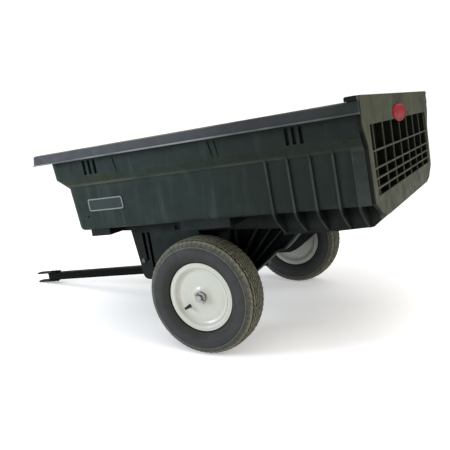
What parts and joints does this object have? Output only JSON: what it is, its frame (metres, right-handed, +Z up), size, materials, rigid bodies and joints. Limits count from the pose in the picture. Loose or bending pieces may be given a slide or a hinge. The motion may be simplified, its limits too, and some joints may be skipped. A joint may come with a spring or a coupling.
{
  "type": "tow behind cart",
  "caption": "Two-wheeled plastic tub cart with a steel tongue and clevis, a tub that tips about the axle and a lift-out tailgate.",
  "frame": {"origin": "on the ground, below the middle of the cart's bounding box", "axes": "+X to the rear (tailgate), -X to the clevis, +Y to the cart's right, +Z up; at rest both tyres and the clevis tip stand on the ground"},
  "size_m": [1.8026, 1.072, 0.8307],
  "materials": {
    "tub_plastic": "matte",
    "tailgate_plastic": "matte",
    "badge_red": "gloss",
    "plaque_grey": "matte",
    "black_paint": "satin",
    "zinc_steel": "satin",
    "spring_steel": "satin",
    "rim_paint": "satin",
    "tyre_rubber": "matte",
    "stem_rubber": "matte",
    "nylon": "satin",
    "plug_plastic": "satin"
  },
  "bodies": {
    "chassis": {"tongue_tube": "black_paint", "clevis_upper_strap": "black_paint", "clevis_lower_strap": "black_paint", "clevis_bolts": "black_paint", "clevis_nuts": "black_paint", "tongue_plugs": "plug_plastic", "brace_cradle": "black_paint", "cradle_clip": "spring_steel", "axle": "zinc_steel", "axle_spacers": "black_paint", "axle_washers": "zinc_steel", "cotter_pins": "zinc_steel", "axle_lock_bolt": "zinc_steel", "axle_lock_nut": "zinc_steel"},
    "tub": {"tub": "tub_plastic", "left_axle_support": "tub_plastic", "right_axle_support": "tub_plastic", "pivot_bushes": "nylon", "support_bolts": "black_paint", "support_nuts": "black_paint", "front_brace": "black_paint", "brace_bolts": "spring_steel", "side_plaques": "plaque_grey"},
    "tailgate": {"tailgate": "tailgate_plastic", "tailgate_badge": "badge_red"},
    "left_wheel": {"left_tyre": "tyre_rubber", "left_rim_barrel": "rim_paint", "left_rim_disc": "rim_paint", "left_hub": "zinc_steel", "left_wheel_bearings": "zinc_steel", "left_valve_stem": "stem_rubber", "left_valve_cap": "plug_plastic"},
    "right_wheel": {"right_tyre": "tyre_rubber", "right_rim_barrel": "rim_paint", "right_rim_disc": "rim_paint", "right_hub": "zinc_steel", "right_wheel_bearings": "zinc_steel", "right_valve_stem": "stem_rubber", "right_valve_cap": "plug_plastic"}
  },
  "joints": [
    {"name": "tub_tip", "type": "hinge", "parent": "chassis", "child": "tub", "pos_m": [0.30681, 0, 0.2], "axis": [0, 1, 0], "range_deg": [0, 42]},
    {"name": "tailgate_lift", "type": "slide", "parent": "tub", "child": "tailgate", "axis": [-0.1207, 0, 0.9927], "range_m": [0, 0.36]},
    {"name": "left_wheel_spin", "type": "hinge", "parent": "chassis", "child": "left_wheel", "pos_m": [0.30681, -0.425, 0.2], "axis": [0, 1, 0], "continuous": true},
    {"name": "right_wheel_spin", "type": "hinge", "parent": "chassis", "child": "right_wheel", "pos_m": [0.30681, 0.425, 0.2], "axis": [0, 1, 0], "continuous": true}
  ]
}
